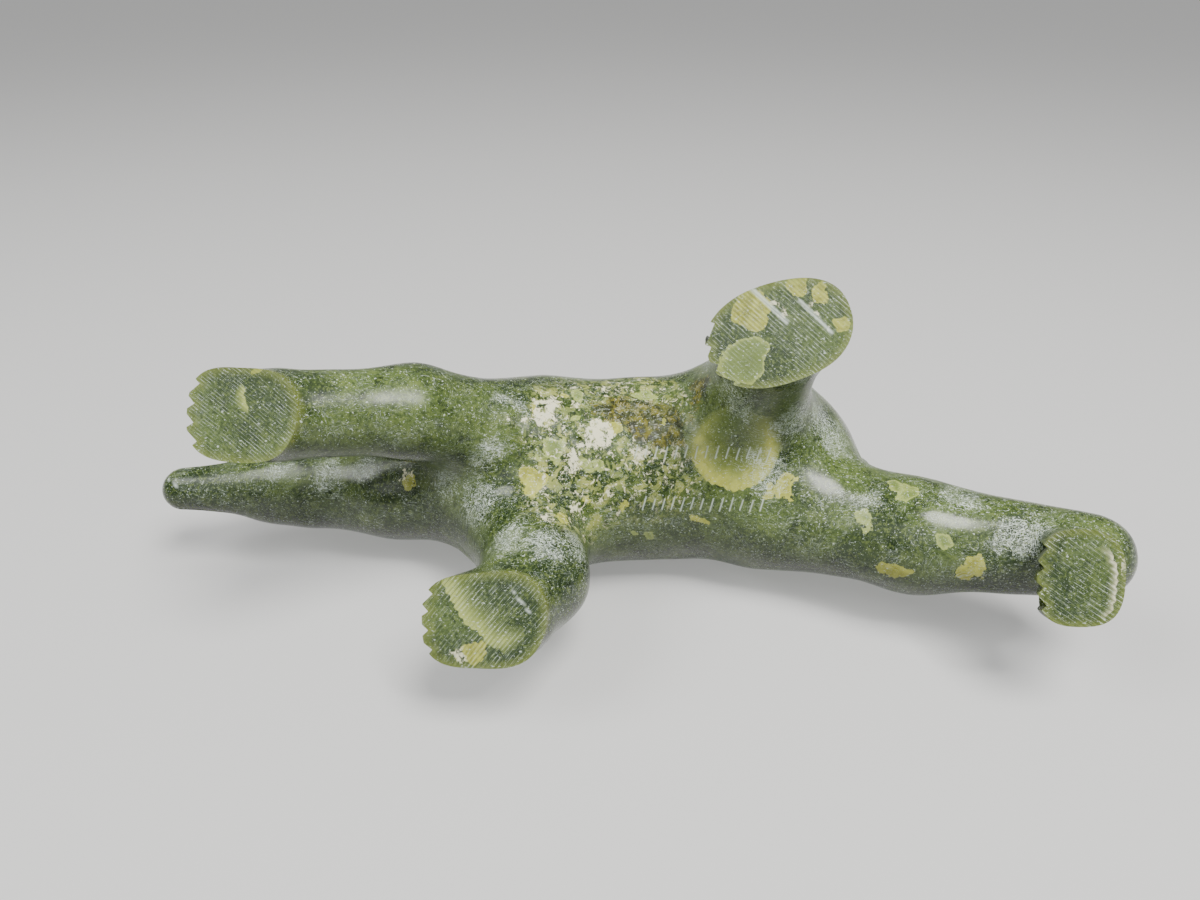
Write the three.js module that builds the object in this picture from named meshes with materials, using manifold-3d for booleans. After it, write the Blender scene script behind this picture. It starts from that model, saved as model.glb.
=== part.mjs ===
// A walking polar bear carved from one block of green soapstone.
// Millimetres, +Z up. The bear faces -Y, its left side is +X, and it stands
// on four flat filed soles that all lie in the plane z = 0.
import * as THREE from "three";
import { mergeVertices } from "three/addons/utils/BufferGeometryUtils.js";
import Module from "manifold-3d";

const wasm = await Module();
wasm.setup();

// ---------- driving dimensions ----------
const CELL = 4.9; // spacing of the surface grid over the rounded stone
const SOLE_DEPTH = 6; // stone kept under the soles until they are cut flat
const CENTRE = [-0.12, -1.36]; // middle of the bear's own box in the carving layout
const CLAW_CUTS = 4; // V cuts along the front of each paw
const CLAW_CUT_DEPTH = 2.4;
const CLAW_CUT_WIDTH = 4.2;
const CLAW_CUT_LEAN = 0.5; // how fast each cut runs back as it climbs the toes
const SHORT_EDGE = 0.12; // edges shorter than this are closed up after the cuts
const STONE_COLOUR = 0x4d6130;

// Rounded masses: centre, half sizes and how softly each joins what came before.
const TRUNK = [
  { at: [-2, -26, 70], half: [36, 38, 32], blend: 1 },
  { at: [0, 17, 73], half: [35.5, 48, 31], blend: 28 },
  { at: [0.5, 59, 74], half: [35, 39, 34], blend: 28 },
  { at: [-1, 98, 80], half: [6, 8, 9], blend: 8 },
];

// Tapered limbs: each run goes through its points, [x, y, z, radius].
const NECK = { run: [[-4, -42, 74, 23], [-7, -82, 74, 18], [-7, -112, 75, 16]], blend: 28, inner: 14 };
const CREST = { run: [[-4, -38, 80, 24], [-7, -78, 84, 16], [-7, -112, 84, 12]], blend: 16, inner: 14 };
const SKULL = { at: [-7, -126, 78], half: [15.5, 21, 15.5], blend: 12 };
const SNOUT = { run: [[-7.5, -130, 75, 11.5], [-8, -163, 71, 8.6]], blend: 9, inner: 1 };
const BROW = { run: [[-7, -122, 84, 6], [-7.5, -150, 76.5, 5]], blend: 8, inner: 1 };
const EARS = [
  { at: [2.5, -114, 91.5], half: [4.8, 3.2, 5.5], blend: 4 },
  { at: [-16.5, -114, 91.5], half: [4.8, 3.2, 5.5], blend: 4 },
];
const LEGS = {
  left_fore: { run: [[12, -26, 62, 19], [19.8, -66, 34, 15.2], [18.4, -101, 12, 14]], blend: 16, inner: 12 },
  right_fore: { run: [[-19, -30, 61, 24], [-35, -23, 27, 16.5], [-42, -29, 11, 14.5]], blend: 14, inner: 10 },
  left_hind: { run: [[18, 52, 64, 25], [36, 55, 24, 13], [42, 58, 10, 12]], blend: 18, inner: 10 },
  right_hind: { run: [[-13, 62, 64, 24], [-23, 109, 43, 19], [-27, 155, 18, 14]], blend: 16, inner: 12 },
};

// Paws: middle of the sole, how far the toes turn in, half length and width,
// thickness at the toes and the slope of the top back toward the ankle.
const PAWS = {
  left_fore: { at: [17.6, -110.5], turn: 0.06, half: [15.5, 14.6], corner: 3, toe: 6, slope: 0.7, blend: 9, cut: 14 },
  right_fore: { at: [-44.5, -38], turn: 0.0, half: [18, 14.6], corner: 2.8, toe: 6.5, slope: 0.75, blend: 9, cut: 14 },
  left_hind: { at: [42, 51.8], turn: -0.34, half: [23, 15.4], corner: 2.3, toe: 5, slope: 0.5, blend: 8, cut: 11 },
  right_hind: { at: [-31.5, 142.5], turn: 0.02, half: [13.5, 14.8], corner: 2.8, toe: 4.5, slope: 0.75, blend: 6, cut: 8.5 },
};

// ---------- the rounded form, as one signed distance ----------
function softMin(a, b, k) {
  const h = Math.max(k - Math.abs(a - b), 0) / k;
  return Math.min(a, b) - (h * h * h * k) / 6;
}

function softMax(a, b, k) {
  return -softMin(-a, -b, k);
}

function mass(p, m) {
  const q = [0, 1, 2].map((i) => (p[i] - m.at[i]) / m.half[i]);
  const k0 = Math.hypot(...q);
  const k1 = Math.hypot(...q.map((v, i) => v / m.half[i]));
  return (k0 * (k0 - 1)) / Math.max(k1, 1e-9);
}

function taper(p, a, b) {
  const ba = [b[0] - a[0], b[1] - a[1], b[2] - a[2]];
  const pa = [p[0] - a[0], p[1] - a[1], p[2] - a[2]];
  const l2 = ba[0] ** 2 + ba[1] ** 2 + ba[2] ** 2;
  const rr = a[3] - b[3];
  const a2 = l2 - rr * rr;
  const y = pa[0] * ba[0] + pa[1] * ba[1] + pa[2] * ba[2];
  const z = y - l2;
  const x2 = [0, 1, 2].reduce((sum, i) => sum + (pa[i] * l2 - y * ba[i]) ** 2, 0);
  const y2 = y * y * l2;
  const z2 = z * z * l2;
  const k = Math.sign(rr) * rr * rr * x2;
  if (Math.sign(z) * a2 * z2 > k) return Math.sqrt(x2 + z2) / l2 - b[3];
  if (Math.sign(y) * a2 * y2 < k) return Math.sqrt(x2 + y2) / l2 - a[3];
  return (Math.sqrt((x2 * a2) / l2) + y * rr) / l2 - a[3];
}

function limb(p, l) {
  let d = taper(p, l.run[0], l.run[1]);
  for (let i = 1; i < l.run.length - 1; i += 1) {
    d = softMin(d, taper(p, l.run[i], l.run[i + 1]), l.inner);
  }
  return d;
}

// Distances ahead of and beside the middle of a paw.
function pawAxes(p, w) {
  const dx = p[0] - w.at[0];
  const dy = p[1] - w.at[1];
  const c = Math.cos(w.turn);
  const s = Math.sin(w.turn);
  return [dx * s - dy * c, dx * c + dy * s];
}

function paw(p, w) {
  const [ahead, beside] = pawAxes(p, w);
  const n = w.corner;
  const round = Math.pow(Math.abs(ahead / w.half[0]) ** n + Math.abs(beside / w.half[1]) ** n, 1 / n);
  const wall = (round - 1) * Math.min(...w.half) + 0.1 * Math.max(p[2], 0);
  const top = (p[2] - w.toe - (w.half[0] - ahead) * w.slope) / Math.hypot(1, w.slope);
  return softMax(softMax(wall, top, 4), -SOLE_DEPTH - p[2], 0.5);
}

function bear(p) {
  let d = 1e3;
  for (const m of TRUNK) d = softMin(d, mass(p, m), m.blend);
  d = softMin(d, limb(p, NECK), NECK.blend);
  d = softMin(d, limb(p, CREST), CREST.blend);
  let head = softMin(mass(p, SKULL), limb(p, SNOUT), SNOUT.blend);
  head = softMin(head, limb(p, BROW), BROW.blend);
  for (const ear of EARS) head = softMin(head, mass(p, ear), ear.blend);
  d = softMin(d, head, SKULL.blend);
  for (const name of Object.keys(LEGS)) {
    const leg = softMin(limb(p, LEGS[name]), paw(p, PAWS[name]), PAWS[name].blend);
    d = softMin(d, leg, LEGS[name].blend);
  }
  return softMax(d, -SOLE_DEPTH - p[2], 0.5);
}

// ---------- a closed mesh over that form ----------
function surface(field, low, high, cell) {
  const n = [0, 1, 2].map((i) => Math.ceil((high[i] - low[i]) / cell) + 1);
  const index = (i, j, k) => (k * n[1] + j) * n[0] + i;
  const place = (i, j, k) => [low[0] + i * cell, low[1] + j * cell, low[2] + k * cell];
  const value = new Float64Array(n[0] * n[1] * n[2]);
  for (let k = 0; k < n[2]; k += 1) {
    for (let j = 0; j < n[1]; j += 1) {
      for (let i = 0; i < n[0]; i += 1) value[index(i, j, k)] = field(place(i, j, k));
    }
  }
  const corner = [];
  for (let c = 0; c < 8; c += 1) corner.push([c & 1, (c >> 1) & 1, (c >> 2) & 1]);
  const vertexOf = new Map();
  const positions = [];
  for (let k = 0; k < n[2] - 1; k += 1) {
    for (let j = 0; j < n[1] - 1; j += 1) {
      for (let i = 0; i < n[0] - 1; i += 1) {
        const f = corner.map((c) => value[index(i + c[0], j + c[1], k + c[2])]);
        const sum = [0, 0, 0];
        let hits = 0;
        for (let c = 0; c < 8; c += 1) {
          for (const step of [1, 2, 4]) {
            const e = c | step;
            if (e === c || f[c] < 0 === f[e] < 0) continue;
            const t = f[c] / (f[c] - f[e]);
            [0, 1, 2].forEach((a) => {
              sum[a] += corner[c][a] + t * (corner[e][a] - corner[c][a]);
            });
            hits += 1;
          }
        }
        if (hits === 0) continue;
        const base = place(i, j, k);
        vertexOf.set(index(i, j, k), positions.length / 3);
        positions.push(...sum.map((v, a) => base[a] + (cell * v) / hits));
      }
    }
  }
  settle(positions, field, cell);
  const faces = [];
  const stride = [1, n[0], n[0] * n[1]];
  for (let k = 1; k < n[2] - 1; k += 1) {
    for (let j = 1; j < n[1] - 1; j += 1) {
      for (let i = 1; i < n[0] - 1; i += 1) {
        const here = index(i, j, k);
        for (let a = 0; a < 3; a += 1) {
          const inside = value[here] < 0;
          if (inside === value[here + stride[a]] < 0) continue;
          const u = stride[(a + 1) % 3];
          const v = stride[(a + 2) % 3];
          const q = [here - u - v, here - v, here, here - u].map((cellIndex) => vertexOf.get(cellIndex));
          if (!inside) q.reverse();
          faces.push(...splitQuad(positions, q));
        }
      }
    }
  }
  return { positions, faces };
}

// Pulls every vertex onto the true surface.
function settle(positions, field, cell) {
  const e = 0.2;
  for (let pass = 0; pass < 3; pass += 1) {
    for (let v = 0; v < positions.length; v += 3) {
      const p = positions.slice(v, v + 3);
      const d = field(p);
      const slope = [0, 1, 2].map((a) => {
        const q = p.slice();
        q[a] += e;
        return (field(q) - d) / e;
      });
      const steep = Math.max(slope[0] ** 2 + slope[1] ** 2 + slope[2] ** 2, 0.3);
      const move = Math.min(Math.max(d / steep, -cell * 0.3), cell * 0.3);
      [0, 1, 2].forEach((a) => {
        positions[v + a] -= move * slope[a];
      });
    }
  }
}

// Splits a four-sided patch along its shorter diagonal.
function splitQuad(positions, q) {
  const gap = (a, b) => Math.hypot(...[0, 1, 2].map((i) => positions[3 * a + i] - positions[3 * b + i]));
  if (gap(q[0], q[2]) <= gap(q[1], q[3])) return [q[0], q[1], q[2], q[0], q[2], q[3]];
  return [q[0], q[1], q[3], q[1], q[2], q[3]];
}

// ---------- cuts ----------
function solid(positions, faces) {
  const mesh = new wasm.Mesh({
    numProp: 3,
    vertProperties: new Float32Array(positions),
    triVerts: new Uint32Array(faces),
  });
  return new wasm.Manifold(mesh);
}

function solidOf(geometry) {
  const bare = geometry.index ? geometry.toNonIndexed() : geometry.clone();
  bare.deleteAttribute("normal");
  bare.deleteAttribute("uv");
  const merged = mergeVertices(bare, 1e-4);
  return solid(merged.attributes.position.array, merged.index.array);
}

// The floor block that leaves all four soles flat and level.
function soleCut() {
  const block = new THREE.BoxGeometry(240, 460, 40);
  block.translate(0, 0, -20);
  return solidOf(block);
}

// One V cut between two claws, open to the front and leaning back up the toes.
function clawCut(w, beside) {
  const wedge = new THREE.Shape();
  wedge.moveTo(0, 0);
  wedge.lineTo(CLAW_CUT_WIDTH * 1.5, CLAW_CUT_DEPTH * 3);
  wedge.lineTo(-CLAW_CUT_WIDTH * 1.5, CLAW_CUT_DEPTH * 3);
  wedge.closePath();
  const prism = new THREE.ExtrudeGeometry(wedge, { depth: w.cut + 4, bevelEnabled: false });
  prism.translate(0, 0, -4);
  const lean = new THREE.Matrix4().makeShear(0, 0, 0, 0, 0, 0);
  lean.elements[9] = -CLAW_CUT_LEAN;
  prism.applyMatrix4(lean);
  const n = w.corner;
  const edge = w.half[0] * Math.pow(1 - Math.abs(beside / w.half[1]) ** n, 1 / n);
  prism.translate(-beside, edge - CLAW_CUT_DEPTH, 0);
  prism.rotateZ(Math.PI + w.turn);
  prism.translate(w.at[0], w.at[1], 0);
  return solidOf(prism);
}

// Closes every edge shorter than a limit, so that no sliver is left by a cut.
function closeShortEdges(positions, faces, limit) {
  const group = Array.from({ length: positions.length / 3 }, (_, i) => i);
  const root = (i) => {
    let r = i;
    while (group[r] !== r) r = group[r];
    return r;
  };
  for (let f = 0; f < faces.length; f += 3) {
    for (let c = 0; c < 3; c += 1) {
      const a = root(faces[f + c]);
      const b = root(faces[f + ((c + 1) % 3)]);
      const gap = Math.hypot(...[0, 1, 2].map((i) => positions[3 * a + i] - positions[3 * b + i]));
      if (a !== b && gap < limit) group[Math.max(a, b)] = Math.min(a, b);
    }
  }
  const kept = new Map();
  for (let f = 0; f < faces.length; f += 3) {
    const t = [root(faces[f]), root(faces[f + 1]), root(faces[f + 2])];
    if (t[0] === t[1] || t[1] === t[2] || t[0] === t[2]) continue;
    const key = t.slice().sort((a, b) => a - b).join(" ");
    if (kept.has(key)) kept.delete(key);
    else kept.set(key, t);
  }
  return [...kept.values()].flat();
}

// ---------- the carving ----------
const form = surface(bear, [-81, -186, -14], [82, 190, 126], CELL);
let stone = solid(form.positions, form.faces).subtract(soleCut());
for (const name of Object.keys(PAWS)) {
  const w = PAWS[name];
  for (let i = 0; i < CLAW_CUTS; i += 1) {
    const beside = w.half[1] * 0.78 * ((2 * (i + 0.5)) / CLAW_CUTS - 1);
    stone = stone.subtract(clawCut(w, beside));
  }
}

const cut = stone.getMesh();
const geometry = new THREE.BufferGeometry();
geometry.setAttribute("position", new THREE.BufferAttribute(new Float32Array(cut.vertProperties), 3));
geometry.setIndex(closeShortEdges(cut.vertProperties, cut.triVerts, SHORT_EDGE));
geometry.translate(-CENTRE[0], -CENTRE[1], 0);
geometry.computeVertexNormals();

const material = new THREE.MeshStandardMaterial({ color: STONE_COLOUR, roughness: 0.3, metalness: 0 });
const carving = new THREE.Mesh(geometry, material);
carving.name = "bear_carving";

const group = new THREE.Group();
group.name = "soapstone_bear";
group.add(carving);

export default group;
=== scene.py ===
"""A walking polar bear carved from one block of green serpentine soapstone.

The stone is shaped in millimetres from the same rounded masses as the solid
model, then cut, filed and scratched, and brought to metres at the end.
"""

import math

import bmesh
import bpy
import numpy as np
from mathutils import Matrix, Vector
from mathutils.geometry import delaunay_2d_cdt


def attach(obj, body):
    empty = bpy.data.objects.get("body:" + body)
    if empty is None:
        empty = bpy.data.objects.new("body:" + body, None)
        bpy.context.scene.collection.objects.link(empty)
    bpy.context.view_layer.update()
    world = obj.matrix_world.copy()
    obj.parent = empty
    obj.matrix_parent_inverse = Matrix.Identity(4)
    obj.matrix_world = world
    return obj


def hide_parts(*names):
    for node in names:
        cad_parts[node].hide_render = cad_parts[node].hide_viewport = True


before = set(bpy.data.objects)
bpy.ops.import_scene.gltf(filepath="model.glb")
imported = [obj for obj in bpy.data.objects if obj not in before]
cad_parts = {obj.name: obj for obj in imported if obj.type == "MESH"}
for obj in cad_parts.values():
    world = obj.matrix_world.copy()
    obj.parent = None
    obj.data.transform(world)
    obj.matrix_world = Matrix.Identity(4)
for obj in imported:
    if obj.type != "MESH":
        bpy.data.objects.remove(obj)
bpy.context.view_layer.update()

MM = 0.001
CENTRE = np.array([-0.12, -1.36, 0.0])
GRID = 1.35  # spacing of the surface grid, mm
SOLE_DEPTH = 3.0  # stone kept under the soles until they are cut flat, mm

# ---------------------------------------------------------------------------
# The rounded form: masses, tapered limbs and paws, all in millimetres.
# The bear faces -Y and its left side is +X.
# ---------------------------------------------------------------------------
TRUNK = [
    dict(at=(-2, -26, 70), half=(36, 38, 32), blend=1),
    dict(at=(0, 17, 73), half=(35.5, 48, 31), blend=28),
    dict(at=(0.5, 59, 74), half=(35, 39, 34), blend=28),
    dict(at=(-1, 98, 80), half=(6, 8, 9), blend=8),
]
NECK = dict(run=[(-4, -42, 74, 23), (-7, -82, 74, 18), (-7, -112, 75, 16)], blend=28, inner=14)
CREST = dict(run=[(-4, -38, 80, 24), (-7, -78, 84, 16), (-7, -112, 84, 12)], blend=16, inner=14)
SKULL = dict(at=(-7, -126, 78), half=(15.5, 21, 15.5), blend=12)
SNOUT = dict(run=[(-7.5, -130, 75, 11.5), (-8, -163, 71, 8.6)], blend=9, inner=1)
BROW = dict(run=[(-7, -122, 84, 6), (-7.5, -150, 76.5, 5)], blend=8, inner=1)
EARS = [
    dict(at=(2.5, -114, 91.5), half=(4.8, 3.2, 5.5), blend=4),
    dict(at=(-16.5, -114, 91.5), half=(4.8, 3.2, 5.5), blend=4),
]
LEGS = {
    "left_fore": dict(
        run=[(12, -26, 62, 19), (19.8, -66, 34, 15.2), (18.4, -101, 12, 14)], blend=16, inner=12
    ),
    "right_fore": dict(
        run=[(-19, -30, 61, 24), (-35, -23, 27, 16.5), (-42, -29, 11, 14.5)], blend=14, inner=10
    ),
    "left_hind": dict(run=[(18, 52, 64, 25), (36, 55, 24, 13), (42, 58, 10, 12)], blend=18, inner=10),
    "right_hind": dict(run=[(-13, 62, 64, 24), (-23, 109, 43, 19), (-27, 155, 18, 14)], blend=16, inner=12),
}
PAWS = {
    "left_fore": dict(
        at=(17.6, -110.5), turn=0.06, half=(15.5, 14.6), corner=3, toe=6, slope=0.7,
        blend=9, cut=14, file=-40, pitch=0.95,
    ),
    "right_fore": dict(
        at=(-44.5, -38), turn=0, half=(18, 14.6), corner=2.8, toe=6.5, slope=0.75,
        blend=9, cut=14, file=50, pitch=1.2,
    ),
    "left_hind": dict(
        at=(42, 51.8), turn=-0.34, half=(23, 15.4), corner=2.3, toe=5, slope=0.5,
        blend=8, cut=11, file=-42, pitch=1.15,
    ),
    "right_hind": dict(
        at=(-31.5, 142.5), turn=0.02, half=(13.5, 14.8), corner=2.8, toe=4.5, slope=0.75,
        blend=6, cut=8.5, file=-35, pitch=1.4,
    ),
}


def soft_min(a, b, k):
    h = np.maximum(k - np.abs(a - b), 0) / k
    return np.minimum(a, b) - h * h * h * k / 6


def soft_max(a, b, k):
    return -soft_min(-a, -b, k)


def mass(p, m):
    q = (p - np.array(m["at"])) / np.array(m["half"])
    k0 = np.linalg.norm(q, axis=-1)
    k1 = np.linalg.norm(q / np.array(m["half"]), axis=-1)
    return k0 * (k0 - 1) / np.maximum(k1, 1e-9)


def taper(p, a, b):
    """Distance to a round-ended cone from a to b, each (x, y, z, radius)."""
    start, end = np.array(a[:3], float), np.array(b[:3], float)
    along = end - start
    l2 = along @ along
    rr = a[3] - b[3]
    a2 = l2 - rr * rr
    pa = p - start
    y = pa @ along
    z = y - l2
    x2 = ((pa * l2 - y[..., None] * along) ** 2).sum(-1)
    y2, z2 = y * y * l2, z * z * l2
    k = np.sign(rr) * rr * rr * x2
    d = (np.sqrt(x2 * a2 / l2) + y * rr) / l2 - a[3]
    past_end = np.sign(z) * a2 * z2 > k
    before_start = ~past_end & (np.sign(y) * a2 * y2 < k)
    d = np.where(past_end, np.sqrt(x2 + z2) / l2 - b[3], d)
    return np.where(before_start, np.sqrt(x2 + y2) / l2 - a[3], d)


def limb(p, l):
    d = taper(p, l["run"][0], l["run"][1])
    for a, b in zip(l["run"][1:], l["run"][2:]):
        d = soft_min(d, taper(p, a, b), l["inner"])
    return d


def paw_axes(p, w):
    """Distances ahead of and beside the middle of a paw."""
    dx, dy = p[..., 0] - w["at"][0], p[..., 1] - w["at"][1]
    c, s = math.cos(w["turn"]), math.sin(w["turn"])
    return dx * s - dy * c, dx * c + dy * s


def paw(p, w):
    ahead, beside = paw_axes(p, w)
    n = w["corner"]
    round_ = (np.abs(ahead / w["half"][0]) ** n + np.abs(beside / w["half"][1]) ** n) ** (1 / n)
    wall = (round_ - 1) * min(w["half"]) + 0.1 * np.maximum(p[..., 2], 0)
    top = (p[..., 2] - w["toe"] - (w["half"][0] - ahead) * w["slope"]) / math.hypot(1, w["slope"])
    return soft_max(wall, top, 4)


def bear(p):
    d = np.full(p.shape[:-1], 1e3)
    for m in TRUNK:
        d = soft_min(d, mass(p, m), m["blend"])
    for part in (NECK, CREST):
        d = soft_min(d, limb(p, part), part["blend"])
    head = soft_min(mass(p, SKULL), limb(p, SNOUT), SNOUT["blend"])
    head = soft_min(head, limb(p, BROW), BROW["blend"])
    for ear in EARS:
        head = soft_min(head, mass(p, ear), ear["blend"])
    d = soft_min(d, head, SKULL["blend"])
    for name, leg in LEGS.items():
        whole = soft_min(limb(p, leg), paw(p, PAWS[name]), PAWS[name]["blend"])
        d = soft_min(d, whole, leg["blend"])
    return soft_max(d, -SOLE_DEPTH - p[..., 2], 0.5)


def field_at(points, field=bear, block=400000):
    return np.concatenate([field(points[i : i + block]) for i in range(0, len(points), block)])


def slope_at(points, field=bear):
    e = 0.15
    steps = [(field_at(points + e * u, field) - field_at(points - e * u, field)) / (2 * e) for u in np.eye(3)]
    return np.stack(steps, -1)


def settled(points, passes=3):
    """Points moved onto the form, and its outward direction there."""
    for _ in range(passes):
        slope = slope_at(points)
        steep = np.maximum((slope**2).sum(-1), 0.3)
        points = points - np.clip(field_at(points) / steep, -1, 1)[:, None] * slope
    slope = slope_at(points)
    return points, slope / np.maximum(np.linalg.norm(slope, axis=1), 1e-9)[:, None]


def closed_surface(low, high, cell):
    """A closed four-sided mesh over the form, one vertex to each crossed cell."""
    low, high = np.array(low, float), np.array(high, float)
    n = np.ceil((high - low) / cell).astype(int) + 1
    axes = [low[i] + cell * np.arange(n[i]) for i in range(3)]
    grid = np.stack(np.meshgrid(*axes, indexing="ij"), -1)
    value = field_at(grid.reshape(-1, 3)).reshape(n)
    inside = value < 0
    corners = [(i, j, k) for i in (0, 1) for j in (0, 1) for k in (0, 1)]
    count = sum(
        inside[i : n[0] - 1 + i, j : n[1] - 1 + j, k : n[2] - 1 + k].astype(np.int8) for i, j, k in corners
    )
    crossed = (count > 0) & (count < 8)
    number = -np.ones(crossed.shape, int)
    number[crossed] = np.arange(crossed.sum())
    cell_at = np.stack(np.nonzero(crossed), 1)
    total, hits = np.zeros((len(cell_at), 3)), np.zeros(len(cell_at))
    for corner in corners:
        for axis in range(3):
            if corner[axis]:
                continue
            end = np.array(corner)
            end[axis] = 1
            fa = value[tuple((cell_at + corner).T)]
            fb = value[tuple((cell_at + end).T)]
            hit = (fa < 0) != (fb < 0)
            where = np.tile(np.array(corner, float), (len(cell_at), 1))
            where[:, axis] += np.where(hit, fa / np.where(fa == fb, 1, fa - fb), 0)
            total[hit] += where[hit]
            hits[hit] += 1
    points = (total / hits[:, None] + cell_at) * cell + low
    patches = []
    for axis in range(3):
        u, v = (axis + 1) % 3, (axis + 2) % 3
        near = [slice(None)] * 3
        far = [slice(None)] * 3
        near[axis], far[axis] = slice(0, -1), slice(1, None)
        a, b = inside[tuple(near)], inside[tuple(far)]
        edge = np.argwhere(a != b)
        edge = edge[(edge[:, u] > 0) & (edge[:, v] > 0) & (edge[:, u] < n[u] - 1) & (edge[:, v] < n[v] - 1)]
        ring = []
        for du, dv in ((-1, -1), (0, -1), (0, 0), (-1, 0)):
            at = edge.copy()
            at[:, u] += du
            at[:, v] += dv
            ring.append(number[tuple(at.T)])
        ring = np.stack(ring, 1)
        leaving = a[tuple(edge.T)]
        ring[~leaving] = ring[~leaving][:, ::-1]
        patches.append(ring)
    return points, np.concatenate(patches)


# ---------------------------------------------------------------------------
# Fine carving: grooves along lines, pits and hollows.
# ---------------------------------------------------------------------------
def on_head(side, y, z):
    """A place on one side of the head: side is the distance out from its middle."""
    return (-7.6 + side, y, z)


STROKE_WIDTH = 0.36  # of the scratched strokes on the belly, mm
NARROW = 0.5  # grooves under this width are scratched strokes, mm
NEARBY = 6  # how far round a groove points are tested, mm
PIT_SPREAD = 1.3  # a pit's reach as a share of its radius
SETTLING = 6  # passes that bring a carved line onto the form


def groove(points, width, depth):
    return dict(points=np.array(points, float), width=width, depth=depth)


def laid_on_stone(points, width, depth):
    """A groove whose line is drawn in short steps and then moved onto the rounded form."""
    points = np.array(points, float)
    line = [points[:1]]
    for a, b in zip(points, points[1:]):
        steps = int(np.linalg.norm(b - a)) + 2
        line.append(a + (b - a) * np.linspace(0, 1, steps)[1:, None])
    return groove(settled(np.concatenate(line), SETTLING)[0], width, depth)


def mouth_line():
    side = [
        (1, -170, 68.5), (5, -168, 68.5), (8, -163, 68.5),
        (9.5, -156, 68.8), (10.5, -149, 69.6), (11.5, -143, 71),
    ]
    right = [on_head(-s, y, z) for s, y, z in side]
    left = [on_head(s, y, z) for s, y, z in side]
    return laid_on_stone(right[::-1] + left, 0.9, 0.8)


def eye_line(side):
    middle = np.array(on_head(side * 12.5, -139, 82.5))
    ring = [middle + (0, 2.2 * math.cos(t), 1.3 * math.sin(t)) for t in np.linspace(0, 2 * math.pi, 13)]
    return laid_on_stone(ring, 0.75, 0.6)


def scratched_row(start, end, strokes, seed):
    """A row of short shallow strokes, evenly spaced and all leaning the same way."""
    rng = np.random.default_rng(seed)
    start, end = np.array(start, float), np.array(end, float)
    lines = []
    for i in range(strokes):
        at = start + (end - start) * (i + 0.5) / strokes + np.array([rng.uniform(-0.4, 0.4), 0, 0])
        half, lean = rng.uniform(1.8, 2.4), rng.uniform(0.24, 0.3)
        reach = np.array([half, half * lean, 0])
        lines.append(groove([at - reach, at + reach], STROKE_WIDTH, 0.2))
    return lines


GROOVES = [mouth_line(), eye_line(1), eye_line(-1)]
GROOVES += scratched_row((6.5, 9, 40), (5.5, 58, 38), 14, 3)
GROOVES += scratched_row((-12, 12, 42), (-12.5, 56, 40), 13, 5)
# x, y, z, radius and depth, in millimetres: belly pits, nostrils, then ear hollows.
PIT_PLACES = [
    (10.6, -9.0, 39.9, 0.9, 1.4),
    (-1.2, -20.3, 36.3, 0.7, 1.0),
    (5.0, 8.0, 41.5, 0.5, 0.7),
    (14.5, 1.0, 43.0, 0.5, 0.7),
    (*on_head(2.9, -170.3, 73.5), 1.0, 1.1),
    (*on_head(-3.7, -170.3, 73.5), 1.0, 1.1),
    (*on_head(9.8, -117, 92), 2.3, 1.3),
    (*on_head(-8.6, -117, 92), 2.3, 1.3),
]
ON_FORM = settled(np.array(PIT_PLACES)[:, :3], SETTLING)[0]
PITS = [(*at, *pit[3:]) for at, pit in zip(ON_FORM, PIT_PLACES)]


def distance_to_line(p, line):
    best = np.full(len(p), 1e9)
    for a, b in zip(line, line[1:]):
        ab = b - a
        t = np.clip((p - a) @ ab / max(ab @ ab, 1e-9), 0, 1)
        best = np.minimum(best, np.linalg.norm(p - a - t[:, None] * ab, axis=1))
    return best


def flat_distance(p, line, flat):
    """As distance_to_line, but taking no account of height for strokes that follow the belly."""
    keep = np.array([1, 1, 0 if flat else 1])
    return distance_to_line(p * keep, line * keep)


def close_by(p, g):
    """Which points are worth measuring against a groove."""
    low = g["points"].min(0) - NEARBY
    high = g["points"].max(0) + NEARBY
    return np.all((p > low) & (p < high), axis=1)


def carving_depth(p):
    """How far each point sinks below the rounded form, and how much of it is freshly cut."""
    depth = np.zeros(len(p))
    fresh = np.zeros(len(p))
    for g in GROOVES:
        near = close_by(p, g)
        if not near.any():
            continue
        d = flat_distance(p[near], g["points"], g["width"] < NARROW)
        v = np.clip(1 - d / g["width"], 0, 1)
        depth[near] = np.maximum(depth[near], v * g["depth"])
        if g["width"] < NARROW:
            fresh[near] = np.maximum(fresh[near], v)
    for x, y, z, radius, sink in PITS:
        d = np.linalg.norm(p - (x, y, z), axis=1)
        v = np.clip(1 - (d / radius / PIT_SPREAD) ** 2, 0, 1)
        depth = np.maximum(depth, v * sink)
    return depth, fresh


def near_carving(p, reach):
    """Which points lie close enough to fine carving to need a finer mesh."""
    found = np.zeros(len(p), bool)
    for g in GROOVES:
        near = close_by(p, g)
        if near.any():
            found[near] |= flat_distance(p[near], g["points"], g["width"] < NARROW) < g["width"] + reach
    for x, y, z, radius, _ in PITS:
        found |= np.linalg.norm(p - (x, y, z), axis=1) < radius * PIT_SPREAD + reach
    return found


def hand_worked(p):
    """Very slight flats and swells left by hand sanding, in millimetres."""
    waves = [
        ((0.11, 0.05, 0.02), 0.0), ((-0.04, 0.13, 0.07), 1.3),
        ((0.06, -0.08, 0.12), 2.1), ((0.17, 0.12, -0.1), 0.7),
    ]
    ripples = [((0.31, 0.22, 0.1), 0.4), ((-0.17, 0.33, 0.21), 2.0), ((0.24, -0.2, 0.36), 3.3)]
    broad = sum(np.sin(p @ np.array(w) + phase) for w, phase in waves) * 0.09
    return broad + sum(np.sin(p @ np.array(w) + phase) for w, phase in ripples) * 0.045


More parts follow.
